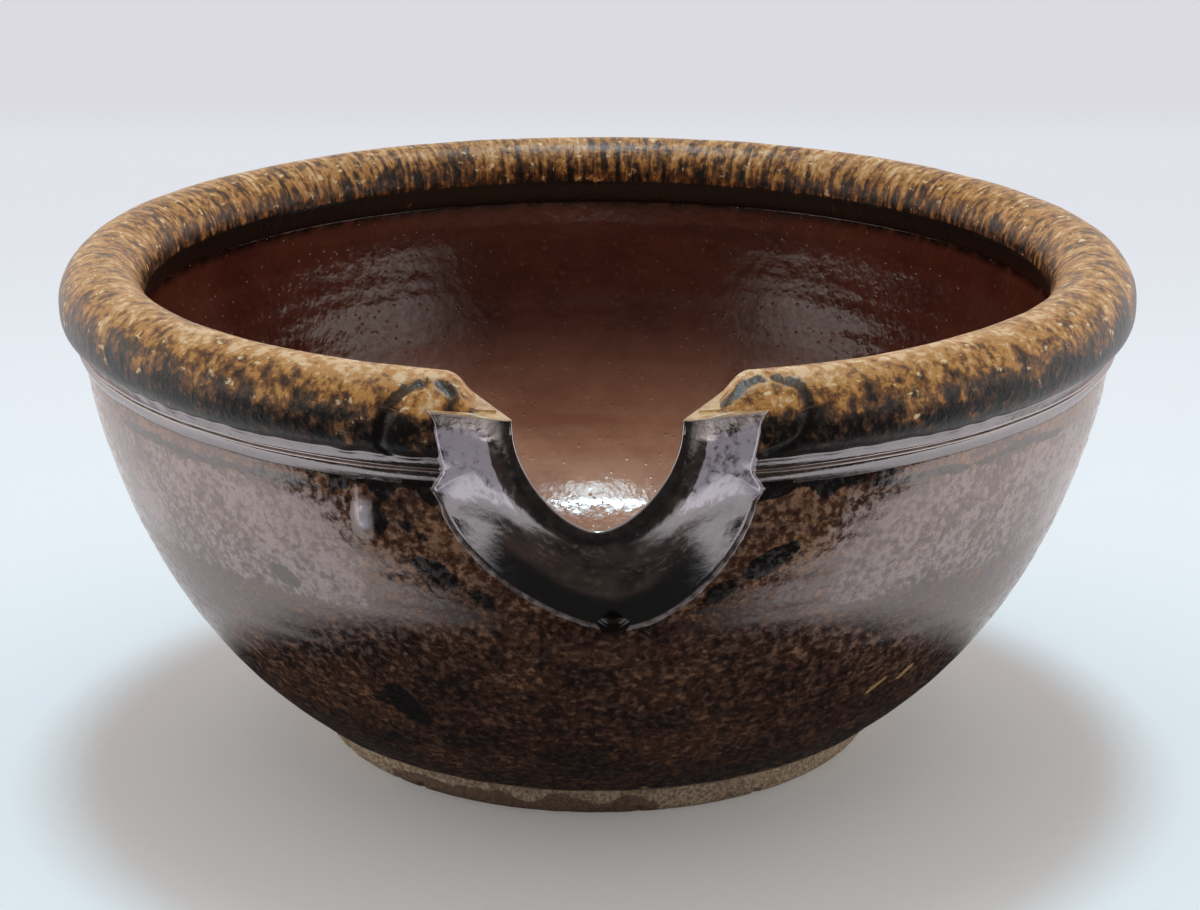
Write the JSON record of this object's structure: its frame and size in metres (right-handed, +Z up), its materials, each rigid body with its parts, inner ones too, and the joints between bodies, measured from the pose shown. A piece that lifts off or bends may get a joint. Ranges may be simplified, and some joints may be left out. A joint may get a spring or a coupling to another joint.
{
  "type": "katakuchi pouring bowl",
  "caption": "Thrown stoneware pouring bowl with a rolled rim, a luted trough spout, a turned foot ring and a mottled iron glaze, for serving sake.",
  "frame": {"origin": "on the wheel axis, in the plane that the foot ring stands on", "axes": "+Z up along the wheel axis, -Y towards the spout's lip, +X to the right as seen from the spout"},
  "size_m": [0.128, 0.132, 0.0601],
  "materials": {
    "clay": "fired stoneware, matt",
    "foot_clay": "bare fired stoneware, sandy and matt",
    "lip_clay": "thin dark glaze, satin",
    "seam_slip": "glossy",
    "brown_glaze": "glossy, mottled brown and black",
    "liner_glaze": "glossy red-brown with orange peel",
    "amber_glaze": "glossy amber with dark streaks",
    "spout_glaze": "glossy black-brown"
  },
  "bodies": {
    "root": {"bowl_body": "clay", "foot_ring": "foot_clay", "rim_roll": "clay", "spout_trough": "lip_clay", "spout_ear_left": "clay", "spout_ear_right": "clay", "luting_strip": "seam_slip", "outer_glaze": "brown_glaze", "liner_glaze": "liner_glaze", "rim_glaze": "amber_glaze", "spout_glaze": "spout_glaze", "channel_glaze": "liner_glaze", "glaze_bead": "spout_glaze"}
  },
  "joints": []
}
